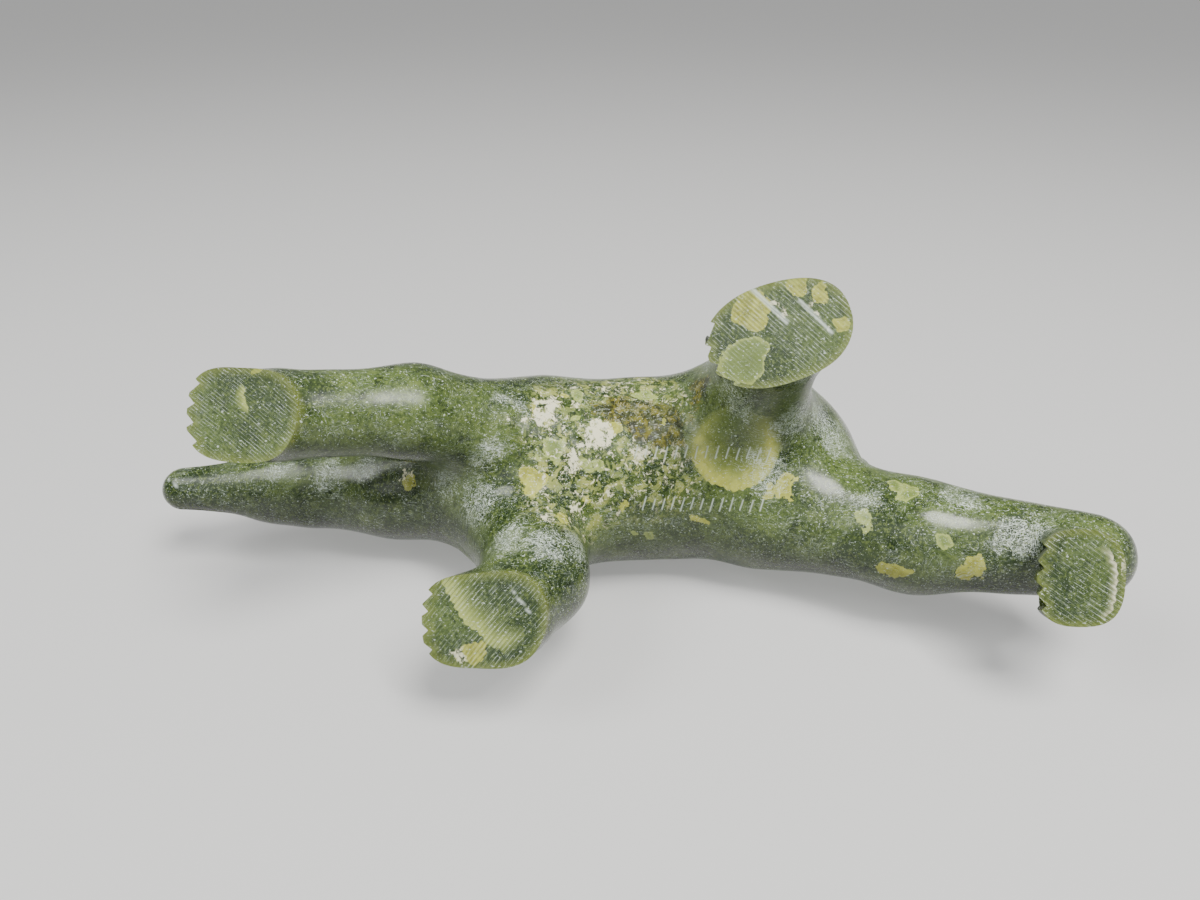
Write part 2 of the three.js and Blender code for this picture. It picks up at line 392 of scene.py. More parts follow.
# ---------------------------------------------------------------------------
# Making the stone.
# ---------------------------------------------------------------------------
def mesh_of(name, points, faces):
    mesh = bpy.data.meshes.new(name)
    mesh.from_pydata(points.tolist(), [], faces.tolist())
    mesh.validate()
    mesh.update()
    return mesh


def coordinates(mesh):
    found = np.empty(len(mesh.vertices) * 3)
    mesh.vertices.foreach_get("co", found)
    return found.reshape(-1, 3)


def refine(mesh, reach):
    """Divides the faces close to fine carving."""
    bm = bmesh.new()
    bm.from_mesh(mesh)
    bm.faces.ensure_lookup_table()
    middles = np.array([f.calc_center_median() for f in bm.faces])
    chosen = near_carving(middles, reach)
    edges = {e for f, c in zip(bm.faces, chosen) if c for e in f.edges}
    bmesh.ops.subdivide_edges(bm, edges=list(edges), cuts=1, use_grid_fill=True)
    bm.to_mesh(mesh)
    bm.free()


def claw_cutters(which):
    """Every second V wedge between the claws, open to the front and leaning back up the toes."""
    points, faces = [], []
    depth, width, lean, cuts = 2.4, 4.6, 0.5, 4
    rng = np.random.default_rng(11)
    for w in PAWS.values():
        c, s = math.cos(w["turn"]), math.sin(w["turn"])
        for i in range(cuts):
            beside = w["half"][1] * 0.78 * (2 * (i + 0.5) / cuts - 1) + rng.uniform(-0.35, 0.35)
            n = w["corner"]
            edge = w["half"][0] * (1 - abs(beside / w["half"][1]) ** n) ** (1 / n)
            sink = depth * rng.uniform(0.85, 1.05)
            skew = rng.uniform(-0.25, 0.25)
            if i % 2 != which:
                continue
            base = len(points)
            for z in (-SOLE_DEPTH - 2, w["cut"]):
                for a, b in ((0, 0), (depth * 2, -width), (depth * 2, width)):
                    ahead = edge - sink + a - lean * z
                    side = beside + b + skew * a
                    x = w["at"][0] + ahead * s + side * c
                    y = w["at"][1] - ahead * c + side * s
                    points.append((x, y, z))
            faces += [(base, base + 1, base + 2), (base + 5, base + 4, base + 3)]
            for a in range(3):
                b = (a + 1) % 3
                faces.append((base + b, base + a, base + 3 + a, base + 3 + b))
    return points, faces


def cut_claws(mesh, which):
    """Takes half of the claw wedges out of the paws, none of which meet."""
    points, faces = claw_cutters(which)
    cutter_mesh = bpy.data.meshes.new("claw_cutters")
    cutter_mesh.from_pydata(points, [], faces)
    bm = bmesh.new()
    bm.from_mesh(cutter_mesh)
    bmesh.ops.recalc_face_normals(bm, faces=bm.faces)
    bm.to_mesh(cutter_mesh)
    bm.free()
    cutter = bpy.data.objects.new("claw_cutters", cutter_mesh)
    body = bpy.data.objects.new("uncut", mesh)
    for ob in (cutter, body):
        bpy.context.scene.collection.objects.link(ob)
    cut = body.modifiers.new("claws", "BOOLEAN")
    cut.operation = "DIFFERENCE"
    cut.solver = "EXACT"
    cut.object = cutter
    shaped = bpy.data.meshes.new_from_object(body.evaluated_get(bpy.context.evaluated_depsgraph_get()))
    for ob in (cutter, body):
        bpy.data.objects.remove(ob)
    return shaped


def boundary_loops(bm):
    """Each open rim as a list of its vertices in order."""
    following = {}
    for e in bm.edges:
        if e.is_boundary:
            loop = e.link_loops[0]
            following[loop.link_loop_next.vert] = loop.vert
    loops = []
    while following:
        first, at = next(iter(following.items()))
        ring = [first]
        while at != first:
            ring.append(at)
            at = following.pop(ring[-1])
        following.pop(first, None)
        loops.append(ring)
    return loops


def stroke_axes(w):
    """The directions along and across the file strokes of a sole."""
    angle = math.radians(w["file"])
    along = np.array([math.sin(angle), math.cos(angle)])
    return along, np.array([along[1], -along[0]])


def stroke_place(p, w):
    """Which file stroke each point of a sole lies on, and how far along it in mm."""
    along, across = stroke_axes(w)
    u, v = p @ across, p @ along
    return (u + 0.22 * np.sin(v * 0.13 + w["file"]) + 0.05 * np.sin(v * 0.4 + u * 0.7)) / w["pitch"], v


def filed(p, w):
    """Depth of the file strokes at points of a sole, from 0 on a crest to 1 in a trough."""
    turns, v = stroke_place(p, w)
    strength = 0.65 + 0.35 * np.sin(turns * 0.9) * np.sin(v * 0.23 + turns * 0.31)
    return np.abs((turns % 1) * 2 - 1) * strength


FILE_DEPTH = 0.2
ROW_STEP = 1.6  # between points along a file stroke, mm
RIM_GAP = 0.25  # kept clear inside the edge of a sole, mm
RIM_GLOW_WIDTH = 3.0  # how far in from the edge of a sole the painted glow reaches, a lighter yellow-green standing in for light shining through the stone, mm


def sole_points(ring, w):
    """Points inside a sole, set out in rows along its file strokes."""
    rim = np.array([(v.co.x, v.co.y) for v in ring])
    low, high = rim.min(0), rim.max(0)
    middle = (low + high) / 2
    reach = np.linalg.norm(high - low) / 2
    along, across = stroke_axes(w)
    u = np.arange(-reach, reach, w["pitch"] / 4)
    v = np.arange(-reach, reach, ROW_STEP)
    uu, vv = np.meshgrid(u, v, indexing="ij")
    vv = vv + ROW_STEP / 2 * (np.arange(len(u)) % 2)[:, None]
    p = middle + uu.reshape(-1, 1) * across + vv.reshape(-1, 1) * along
    a, b = rim, np.roll(rim, -1, axis=0)
    inside = np.zeros(len(p), bool)
    clear = np.full(len(p), 1e9)
    for s, e in zip(a, b):
        straddles = (s[1] > p[:, 1]) != (e[1] > p[:, 1])
        x = s[0] + (p[:, 1] - s[1]) * (e[0] - s[0]) / np.where(e[1] == s[1], 1e-9, e[1] - s[1])
        inside ^= straddles & (p[:, 0] < x)
        t = np.clip((p - s) @ (e - s) / max((e - s) @ (e - s), 1e-9), 0, 1)
        clear = np.minimum(clear, np.linalg.norm(p - s - t[:, None] * (e - s), axis=1))
    return p[inside & (clear > RIM_GAP)]


def cap_soles(bm):
    """Closes each paw with a flat filed sole."""
    for ring in boundary_loops(bm):
        middle = np.mean([(v.co.x, v.co.y) for v in ring], axis=0)
        w = min(PAWS.values(), key=lambda w: np.linalg.norm(np.array(w["at"]) - middle))
        inner = sole_points(ring, w)
        flat = [Vector((v.co.x, v.co.y)) for v in ring] + [Vector(p) for p in inner]
        rim_edges = [(i, (i + 1) % len(ring)) for i in range(len(ring))]
        made = delaunay_2d_cdt(flat, rim_edges, [], 1, 1e-5)
        sink = filed(np.array([tuple(p) for p in made[0]]), w) * FILE_DEPTH
        vertex = []
        for i, p in enumerate(made[0]):
            origins = made[3][i]
            rim = [o for o in origins if o < len(ring)]
            vertex.append(ring[rim[0]] if rim else bm.verts.new((p.x, p.y, sink[i])))
        for f in made[2]:
            corners = [vertex[i] for i in f]
            if len(set(corners)) < 3:
                continue
            try:
                face = bm.faces.new(corners)
            except ValueError:
                continue
            face.normal_update()
            if face.normal.z > 0:
                face.normal_flip()
            face.material_index = 1
            face.smooth = True


# Where the minerals lie in the block: x, y, z and reach, in millimetres.
GOLD = [
    (-6, 62.5, 38, 3.4), (-9, 57, 38, 2.6), (-56, -40, 0, 2.8), (-19.5, -42, 0, 2.4),
    (-33.7, 96.9, 30.1, 4.1), (-31.2, 120.7, 19.5, 3.6), (-33.6, 116.5, 22.4, 3.0), (50.6, 42.0, 0, 6.0),
    (55.1, 58.5, 0, 3.9), (54.8, 63.9, 0, 2.4), (44.6, 70.8, 0, 3.3), (30.8, -105, 0, 2.1),
    (22.9, -24.8, 40.6, 1.8), (-9.9, -6.9, 38.7, 2.8), (-2.2, -23.7, 35.9, 3.8), (14.9, 4, 43.4, 3.2),
    (-4.2, -72.4, 52.8, 2.2), (17.8, 20.8, 45.2, 2.1), (26.9, -15, 47.3, 2.2), (8, -94, 0, 1.6),
    (-16.3, -14, 27.8, 2.7), (-12.3, 6.4, 42.4, 2.1), (-17.8, 31.4, 45.2, 2.5),
]
PALE = [
    (-5.8, 99.3, 32.8, 3.1), (-7.7, 103.2, 29.7, 3.0), (32.6, 41.4, 0, 6.6), (37.1, 45.9, 0, 4.2),
    (8, -16, 37, 4.2), (19.5, -10, 42.5, 3.6), (2, -2, 39.5, 3.2),
    (-23.6, 15.6, 48.9, 2.5), (-22.6, 110.4, 21.2, 2.9), (27.2, 14, 52.3, 2.9), (-16.6, 87.4, 30.9, 2.4),
    (27, -9.7, 49.1, 3.3),
]
CREAM = [
    (-54, -45.5, 0, 1.5), (20.8, -20, 41.2, 4.6), (25.5, -24.3, 42.7, 2.5), (13.1, -4.2, 41.6, 4.9),
    (9.6, -0.6, 41.1, 3.2),
    (4, -11.1, 38.3, 3.8), (1.5, 6.4, 40.6, 1.8), (-13, -9.3, 37.1, 2.1), (53.3, 47.4, 0, 1.2),
    (51.2, 49.8, 0, 1.2), (48.5, 52.5, 0, 1.2), (50.3, 61.2, 0, 1.2), (47, 63.9, 0, 1.2), (44, 66.6, 0, 1.2),
    (-24.7, 154.2, 0, 0.9), (-27.7, 154.8, 0, 0.9), (-31.3, 155.1, 0, 0.9), (-34.9, 154.5, 0, 0.9),
    (-1.7, -72.9, 53.2, 1.8), (17.5, -28.6, 36.5, 2.1), (-8.7, 2.9, 41, 1.8), (5.4, 13.4, 41.4, 2.1),
    (-16, -18.8, 24.3, 2.0), (29.2, -0.6, 54.1, 2.2),
]
FROST = [
    (0, -125, 61, 6), (0, -105, 59, 6), (-1, -88, 56, 6), (-22.4, -31.2, 17, 7.1),
    (-21.5, -20.7, 14.5, 7.6), (-22.9, -9.8, 20.8, 5.9), (17.2, 63.3, 29.3, 8.8),
    (14.3, 79.8, 45.9, 9.3), (0.2, 58.2, 37.1, 6.9), (-20.2, 132.6, 13.8, 7.0), (24.4, -35.2, 36.2, 4),
    (7.1, -38.9, 33.6, 4.5), (-10.3, -42.4, 38.2, 8.3), (-3.6, -57.9, 46.4, 5.0), (-9.9, 88, 32.7, 5),
    (-9.5, 118.9, 25.7, 7.3), (23.8, 42.8, 27.4, 6.7),
]
BROWN = [
    (24, 5, 48, 7.5), (20, 14, 45.5, 8.5), (17, 25, 43.5, 7.5), (12, 17, 42.6, 6.5), (30.1, 34.8, 43.3, 5.5),
]
SPECKLED = [(12, -5, 42, 30), (22, 8, 50, 26), (-8, -8, 38, 22), (0, 20, 42, 16)]


# Broad white rubs: start, end and half width, in millimetres.
RUBS = [
    ((55.8, 43.2, 0), (45.4, 54, 0), 0.9), ((51.9, 57.9, 0), (42.2, 67.6, 0), 0.7),
    ((-35.5, -28.2, 0), (-41.7, -23.1, 0), 0.4), ((2, -170, 66), (-4, -157, 62), 0.5),
    ((-1, -172, 67), (-8, -160, 62), 0.45),
]

# Where one mineral stops at a sharp line and fades away behind it.  Each line runs
# in x and y, its fading side on the right hand; tone 0 is pale green, 1 gold, 2 cream.
LEDGES = [
    dict(line=[(-32, -49.8), (-35.6, -48.2), (-38.8, -46.4), (-42.5, -44.3), (-45.7, -41.8), (-47.6, -38.6),
               (-51, -35.6)], height=(-1, 1), fade=11, tone=0.15, middle=(-38, -38), reach=19),
    dict(line=[(7, 28.2), (-1.1, 33), (-4.6, 36.6), (-7.4, 44.4), (-5.9, 50.5), (-1.8, 56.5), (2.9, 59.4)],
         height=(25, 50), fade=19, tone=1, middle=(5, 44.5), reach=18),
    dict(line=[(-42.1, 151.5), (-37.4, 152.8), (-32, 153.5), (-28.1, 153.2), (-24.1, 151.8)],
         height=(-1, 1), fade=3.6, tone=2, middle=(-33, 149), reach=12),
    dict(line=[(18.5, -107.5), (22, -108.6), (26.5, -108.8)], height=(-1, 1), fade=5, tone=0.2,
         middle=(23, -106), reach=6),
]


def ledge_marks(p):
    """Distance behind the nearest ledge in mm, the same as a share of its fade, and its tone."""
    behind, share, tone = np.full(len(p), -5.0), np.full(len(p), 1.0), np.zeros(len(p))
    for ledge in LEDGES:
        line = np.array(ledge["line"], float)
        low, high = line.min(0) - ledge["fade"], line.max(0) + ledge["fade"]
        level = (p[:, 2] > ledge["height"][0]) & (p[:, 2] < ledge["height"][1])
        at = np.nonzero(level & np.all((p[:, :2] > low) & (p[:, :2] < high), axis=1))[0]
        q = p[at, :2]
        best, signed, along_line, run = np.full(len(q), 1e9), np.zeros(len(q)), np.zeros(len(q)), 0
        for a, b in zip(line, line[1:]):
            d = b - a
            length = np.linalg.norm(d)
            t = (q - a) @ d / length**2
            held = np.clip(t, 0, 1)
            gap = np.linalg.norm(q - a - held[:, None] * d, axis=1)
            side = -(d[0] * (q[:, 1] - a[1]) - d[1] * (q[:, 0] - a[0])) / length
            nearer = gap < best
            best[nearer] = gap[nearer]
            overshoot = np.abs(t - held) * length
            signed[nearer] = (np.sign(side) * gap - overshoot)[nearer]
            along_line[nearer] = (run + held * length)[nearer]
            run += length
        scallop = 0.7 * np.abs(np.sin(along_line * 1.15)) + 0.35 * np.abs(np.sin(along_line * 2.9 + 1))
        signed = signed + scallop - 0.5
        outward = (np.linalg.norm(q - ledge["middle"], axis=1) / ledge["reach"]) ** 5
        behind[at], tone[at] = signed, ledge["tone"]
        share[at] = np.clip(np.maximum(signed / ledge["fade"], outward), 0, 1)
    return behind, share, tone


WANDER = np.array([[0.9, 0.5, 0.3], [-0.4, 0.8, 0.6], [0.5, -0.7, 0.8]])


def wandering(p):
    """Points shifted a little, so that rounded places take uneven outlines."""
    broad = 1.7 * np.sin(p @ WANDER.T * 0.42 + (0.3, 1.9, 4.1))
    small = 0.8 * np.sin(p @ WANDER * 1.15 + (2.2, 0.7, 5.0))
    return p + broad + small


def depth_inside(p, places):
    """How far each point lies inside the nearest place, in millimetres, and negative outside."""
    best = np.full(len(p), -8.0)
    shifted = wandering(p)
    for x, y, z, reach in places:
        middle = wandering(np.array([[x, y, z]], float))
        best = np.maximum(best, reach - np.linalg.norm(shifted - middle, axis=1))
    return best


def edge_glow_amount(mesh, p):
    """1 along the edge of each sole, falling to 0 a little way from it: the reach of the painted glow there.
    """
    polished = {v for f in mesh.polygons if f.material_index == 0 for v in f.vertices}
    filed_verts = {v for f in mesh.polygons if f.material_index == 1 for v in f.vertices}
    rim = p[sorted(polished & filed_verts)]
    value = np.zeros(len(p))
    low = np.nonzero(p[:, 2] < 6)[0]
    for block in np.array_split(low, max(len(low) // 2000, 1)):
        gap = np.linalg.norm(p[block][:, None] - rim[None], axis=2).min(1)
        value[block] = np.clip(1 - gap / RIM_GLOW_WIDTH, 0, 1)
    return value


def write_marks(mesh, p, fresh):
    """Stores where the minerals and the worn places lie, and the painted glow along the sole edges, for the
    stone's materials.
    """
    marks = dict(gold=GOLD, pale=PALE, cream=CREAM, frost=FROST, brown=BROWN, speckled=SPECKLED)
    values = {name: depth_inside(p, places) for name, places in marks.items()}
    for start, end, width in RUBS:
        d = distance_to_line(p, np.array([start, end], float))
        fresh = np.maximum(fresh, np.clip(1.6 - 1.6 * d / width, 0, 0.8))
    values["fresh_cut"] = fresh
    values["ledge"], values["ledge_share"], values["ledge_tone"] = ledge_marks(p)
    values["rim"] = edge_glow_amount(mesh, p)
    gaps = [np.linalg.norm(p[:, :2] - w["at"], axis=1) for w in PAWS.values()]
    places = [stroke_place(p[:, :2], w) for w in PAWS.values()]
    nearest = np.argmin(gaps, axis=0)
    for i, name in enumerate(("stroke_turns", "stroke_run")):
        values[name] = np.choose(nearest, [place[i] for place in places])
    for name, value in values.items():
        mesh.attributes.new(name, "FLOAT", "POINT").data.foreach_set("value", value.astype(np.float32))


FINER_WITHIN = (2.2, 1.0, 0.4)  # each pass divides the faces this close to carving, mm
SANDED_OFF = 0.25  # mm


def carve():
    points, faces = closed_surface((-80, -185, -8), (80, 190, 124), GRID)
    mesh = mesh_of("bear", points, faces)
    for reach in FINER_WITHIN:
        refine(mesh, reach)
    p = coordinates(mesh)
    p, out = settled(p)
    depth, _ = carving_depth(p)
    p = p + out * (hand_worked(p) - SANDED_OFF - depth)[:, None]
    mesh.vertices.foreach_set("co", p.ravel())
    mesh.update()
    mesh = cut_claws(cut_claws(mesh, 0), 1)
    bm = bmesh.new()
    bm.from_mesh(mesh)
    everything = bm.verts[:] + bm.edges[:] + bm.faces[:]
    bmesh.ops.bisect_plane(bm, geom=everything, plane_co=(0, 0, 0), plane_no=(0, 0, 1), clear_inner=True)
    bmesh.ops.dissolve_degenerate(bm, dist=0.02, edges=bm.edges[:])
    for f in bm.faces:
        f.smooth = True
        f.material_index = 0
    cap_soles(bm)
    bmesh.ops.triangulate(bm, faces=[f for f in bm.faces if len(f.verts) > 4])
    bm.to_mesh(mesh)
    bm.free()
    p = coordinates(mesh)
    write_marks(mesh, p, carving_depth(p)[1])
    mesh.vertices.foreach_set("co", ((p - CENTRE) * MM).ravel())
    mesh.update()
    mesh.set_sharp_from_angle(angle=math.radians(38))
    return mesh


# ---------------------------------------------------------------------------
# Materials.
# ---------------------------------------------------------------------------
class Nodes:
    """Short ways to lay out and join a tree's nodes."""

    def __init__(self, tree):
        self.tree = tree

    def add(self, kind, **settings):
        node = self.tree.nodes.new("ShaderNode" + kind)
        for name, value in settings.items():
            setattr(node, name, value)
        return node

    def put(self, socket, value):
        if isinstance(value, bpy.types.NodeSocket):
            self.tree.links.new(value, socket)
        else:
            socket.default_value = value

    def math(self, kind, a, b=0.0, clamp=False):
        node = self.add("Math", operation=kind, use_clamp=clamp)
        self.put(node.inputs[0], a)
        self.put(node.inputs[1], b)
        return node.outputs[0]

    def mix(self, amount, a, b, kind="MIX"):
        node = self.add("Mix", data_type="RGBA", blend_type=kind, clamp_factor=True)
        self.put(node.inputs["Factor"], amount)
        self.put(node.inputs["A"], a)
        self.put(node.inputs["B"], b)
        return node.outputs["Result"]

    def noise(self, vector, scale, detail=4.0, rough=0.55, warp=0.0):
        node = self.add("TexNoise")
        self.put(node.inputs["Vector"], vector)
        self.put(node.inputs["Scale"], scale)
        self.put(node.inputs["Detail"], detail)
        self.put(node.inputs["Roughness"], rough)
        self.put(node.inputs["Distortion"], warp)
        return node.outputs["Fac"]

    def ramp(self, value, low, high, out_low=0.0, out_high=1.0, smooth=True):
        node = self.add("MapRange", interpolation_type="SMOOTHSTEP" if smooth else "LINEAR")
        places = ("Value", "From Min", "From Max", "To Min", "To Max")
        for name, v in zip(places, (value, low, high, out_low, out_high)):
            self.put(node.inputs[name], v)
        return node.outputs["Result"]

    def stretched(self, vector, turn, size):
        node = self.add("Mapping")
        self.put(node.inputs["Vector"], vector)
        self.put(node.inputs["Rotation"], turn)
        self.put(node.inputs["Scale"], size)
        return node.outputs["Vector"]

    def add_colour_noise(self, vector, scale):
        """Noise in three channels, about zero."""
        node = self.add("TexNoise")
        self.put(node.inputs["Vector"], vector)
        self.put(node.inputs["Scale"], scale)
        centred = self.add("VectorMath", operation="SUBTRACT")
        self.put(centred.inputs[0], node.outputs["Color"])
        centred.inputs[1].default_value = (0.5, 0.5, 0.5)
        return centred.outputs[0]

    def value(self, name):
        return self.add("Attribute", attribute_name=name).outputs["Fac"]


def new_group(name, inputs, outputs):
    tree = bpy.data.node_groups.new(name, "ShaderNodeTree")
    for socket, kind, default in inputs:
        made = tree.interface.new_socket(name=socket, in_out="INPUT", socket_type=kind)
        if default is not None:
            made.default_value = default
    for socket, kind in outputs:
        tree.interface.new_socket(name=socket, in_out="OUTPUT", socket_type=kind)
    n = Nodes(tree)
    return n, tree.nodes.new("NodeGroupInput"), tree.nodes.new("NodeGroupOutput")


DARK_GREEN = (0.027, 0.048, 0.014, 1)
MID_GREEN = (0.1, 0.15, 0.038, 1)
LIGHT_GREEN = (0.19, 0.25, 0.065, 1)
NEAR_BLACK = (0.010, 0.020, 0.008, 1)
BROWN_BLACK = (0.022, 0.022, 0.006, 1)
OCHRE = (0.25, 0.22, 0.035, 1)
FLAKE_GREEN = (0.25, 0.31, 0.09, 1)
FLAKE_YELLOW = (0.44, 0.47, 0.13, 1)
PALE_EDGE = (0.44, 0.52, 0.15, 1)
PALE_GREEN = (0.19, 0.26, 0.062, 1)
GOLD_DEEP = (0.31, 0.32, 0.04, 1)
GOLD_LIGHT = (0.5, 0.52, 0.09, 1)
BRIGHT_YELLOW = (0.64, 0.66, 0.13, 1)
CREAM_WHITE = (0.86, 0.83, 0.58, 1)
# Painted light: the lighter yellow-green of a glow along the sole edges, as if light shone through the stone.
SOLE_EDGE_GLOW = (0.26, 0.31, 0.06, 1)
CHALK = (0.74, 0.83, 0.75, 1)

F, C, V = "NodeSocketFloat", "NodeSocketColor", "NodeSocketVector"
SCRATCH_RUNS = [
    ((0.2, 0.1, 0.5), (900, 110, 900), 0.49),
    ((0.9, 0.4, 2.1), (800, 90, 800), 0.53),
    ((0.3, 1.4, 1.2), (100, 900, 900), 0.5),
    ((1.2, 0.2, 2.7), (900, 100, 500), 0.46),
]


def scratches_group():
    """Fine pale scratches running in several directions."""
    n, given, out = new_group(
        "fine_scratches", [("Vector", V, None), ("Amount", F, 0.5), ("Crowding", F, 0.0)],
        [("Mask", F)],
    )
    bent = n.add("VectorMath", operation="ADD")
    n.put(bent.inputs[0], given.outputs["Vector"])
    bend = n.add("VectorMath", operation="SCALE")
    n.put(bend.inputs[0], n.add_colour_noise(given.outputs["Vector"], 70))
    n.put(bend.inputs["Scale"], 0.012)
    n.put(bent.inputs[1], bend.outputs[0])
    bent = bent.outputs[0]
    total = None
    for turn, size, where in SCRATCH_RUNS:
        streak = n.noise(n.stretched(bent, turn, size), 1.0, 1.0, 0.4)
        line = n.ramp(n.math("ABSOLUTE", n.math("SUBTRACT", streak, where)), 0.004, 0.012, 1, 0)
        patchy = n.noise(n.stretched(given.outputs["Vector"], turn, (130, 90, 110)), 1.0, 2.0)
        patchy = n.math("ADD", patchy, n.math("MULTIPLY", given.outputs["Crowding"], 0.16))
        line = n.math("MULTIPLY", line, n.ramp(patchy, 0.52, 0.6))
        total = line if total is None else n.math("MAXIMUM", total, line)
    n.put(out.inputs["Mask"], n.math("MULTIPLY", total, given.outputs["Amount"], clamp=True))
    return n.tree


def stone_group(scratches):
    """The serpentine itself: its greens, minerals, flecks and abraded places, and a painted glow of light
    along the edges of the soles.
    """
    n, given, out = new_group(
        "green_serpentine",
        [("Vector", V, None), ("Scratches", F, 0.6)],
        [("Color", C), ("Chalk", F), ("Height", F), ("Grain", F)],
    )
    at = given.outputs["Vector"]
    broad = n.noise(at, 34, 4, 0.55, 0.5)
    middle = n.noise(at, 120, 5, 0.65, 0.5)
    small = n.noise(at, 340, 4, 0.65, 0.4)
    fine = n.noise(at, 900, 4, 0.7, 0.2)
    base = n.mix(n.ramp(broad, 0.36, 0.66), DARK_GREEN, MID_GREEN)
    base = n.mix(n.ramp(middle, 0.5, 0.7, 0, 0.45), base, LIGHT_GREEN)
    veins = n.math("ADD", n.math("MULTIPLY", middle, 0.5), n.math("MULTIPLY", small, 0.5))
    base = n.mix(n.ramp(veins, 0.465, 0.385, 0, 0.7), base, NEAR_BLACK)
    base = n.mix(n.ramp(fine, 0.52, 0.62, 0, 0.6), base, LIGHT_GREEN)
    base = n.mix(n.ramp(fine, 0.48, 0.38, 0, 0.55), base, NEAR_BLACK)

    # A shared raggedness, in millimetres, gives every mineral patch a broken edge.
    ragged = n.math("MULTIPLY", n.math("SUBTRACT", middle, 0.5), 13.0)
    ragged = n.math("ADD", ragged, n.math("MULTIPLY", n.math("SUBTRACT", small, 0.5), 7.0))
    ragged = n.math("ADD", ragged, n.math("MULTIPLY", n.math("SUBTRACT", fine, 0.5), 2.5))

    def patch(name, loose=1.0):
        return n.math("ADD", n.value(name), n.math("MULTIPLY", ragged, loose))

    speckled = n.ramp(patch("speckled", 0.6), -3, 9)
    brown = n.ramp(patch("brown", 1.1), -1, 1.5)
    mottled = n.mix(n.ramp(small, 0.47, 0.62), BROWN_BLACK, OCHRE)
    base = n.mix(n.math("MULTIPLY", brown, 0.75), base, mottled)
    flakes = n.math("MULTIPLY", n.ramp(n.noise(at, 240, 4, 0.7, 0.8), 0.5, 0.56), speckled)
    flakes = n.math("MULTIPLY", flakes, n.math("SUBTRACT", 1.0, n.math("MULTIPLY", brown, 0.75)))
    tone = n.mix(n.ramp(middle, 0.4, 0.6), FLAKE_GREEN, FLAKE_YELLOW)
    base = n.mix(n.math("MULTIPLY", flakes, 0.75), base, tone)
    pale = patch("pale", 0.45)
    tone = n.mix(n.ramp(pale, 0.2, 2.5), PALE_EDGE, PALE_GREEN)
    base = n.mix(n.math("MULTIPLY", n.ramp(pale, 0, 0.35), n.ramp(pale, 9.0, 3.0, 0.45, 0.85)), base, tone)
    gold = patch("gold", 0.45)
    tone = n.mix(n.ramp(small, 0.4, 0.62), GOLD_DEEP, GOLD_LIGHT)
    tone = n.mix(n.ramp(gold, 1.6, 0.3, 0, 0.7), tone, GOLD_LIGHT)
    base = n.mix(n.math("MULTIPLY", n.ramp(gold, 0, 0.35), n.ramp(gold, 9.0, 3.0, 0.6, 0.95)), base, tone)
    ledge = n.math("ADD", n.value("ledge"), n.math("MULTIPLY", ragged, 0.12))
    level = n.value("ledge_tone")
    tone = n.mix(n.ramp(small, 0.38, 0.56), GOLD_LIGHT, BRIGHT_YELLOW)
    tone = n.mix(n.ramp(level, 0, 1, smooth=False), PALE_EDGE, tone)
    tone = n.mix(n.ramp(level, 1, 2, smooth=False), tone, CREAM_WHITE)
    share = n.math("ADD", n.value("ledge_share"), n.math("MULTIPLY", n.math("SUBTRACT", middle, 0.5), 0.5))
    tone = n.mix(n.ramp(share, 0.05, 0.5, 0, 0.75), tone, PALE_GREEN)
    base = n.mix(n.math("MULTIPLY", n.ramp(ledge, 0, 0.3), n.ramp(share, 0.12, 0.9, 0.97, 0)), base, tone)
    cream = n.ramp(patch("cream", 1.15), 0.4, 1.0)
    loose = n.math("MULTIPLY", n.ramp(n.noise(at, 420, 5, 0.75, 0.6), 0.57, 0.62), speckled)
    loose = n.math("MULTIPLY", loose, n.math("SUBTRACT", 1.0, n.math("MULTIPLY", brown, 0.7)))
    bits = n.noise(at, 460, 4, 0.7, 0.5)
    cream = n.math("MAXIMUM", n.math("MULTIPLY", cream, n.ramp(bits, 0.43, 0.49)), loose)
    base = n.mix(n.math("MULTIPLY", cream, 0.95), base, CREAM_WHITE)
    # Painted light: a lighter yellow-green band along the edge of each sole stands in for light shining
    # through the stone there.
    base = n.mix(n.math("MULTIPLY", n.value("rim"), 0.55), base, SOLE_EDGE_GLOW)

    # White flecks, thick in the frosted places and thinner elsewhere.
    frost = n.ramp(patch("frost", 0.8), -5, 6)
    crowd = n.math("ADD", n.math("MULTIPLY", frost, 0.5), n.math("MULTIPLY", middle, 0.8))
    crowd = n.ramp(crowd, 0.3, 0.85, 0.8, 0.25)
    flecks = None
    for scale, turn in ((1500, (0.4, 0.9, 0.2)), (2700, (1.3, 0.2, 0.8))):
        grain = n.noise(n.stretched(at, turn, (scale, scale * 0.62, scale * 0.8)), 1.0, 2.0, 0.5, 0.4)
        level = n.ramp(crowd, 0.25, 0.8, 0.612, 0.675)
        one = n.ramp(n.math("SUBTRACT", grain, level), 0, 0.03)
        flecks = one if flecks is None else n.math("MAXIMUM", flecks, one)
    group = n.add("Group")
    group.node_tree = scratches
    n.put(group.inputs["Vector"], at)
    n.put(group.inputs["Amount"], given.outputs["Scratches"])
    n.put(group.inputs["Crowding"], frost)
    lines = n.math("ADD", n.math("MULTIPLY", frost, 1.2), 0.5)
    lines = n.math("MULTIPLY", group.outputs["Mask"], lines, clamp=True)
    haze = n.math("MULTIPLY", frost, n.ramp(small, 0.36, 0.66, 0.0, 0.1))
    chalk = n.math("MAXIMUM", n.math("MAXIMUM", n.math("MULTIPLY", flecks, 0.85), lines), haze)
    chalk = n.math("MAXIMUM", chalk, n.value("fresh_cut"), clamp=True)
    colour = n.mix(n.math("MULTIPLY", chalk, 0.9), base, CHALK)
    n.put(out.inputs["Color"], colour)
    n.put(out.inputs["Chalk"], chalk)
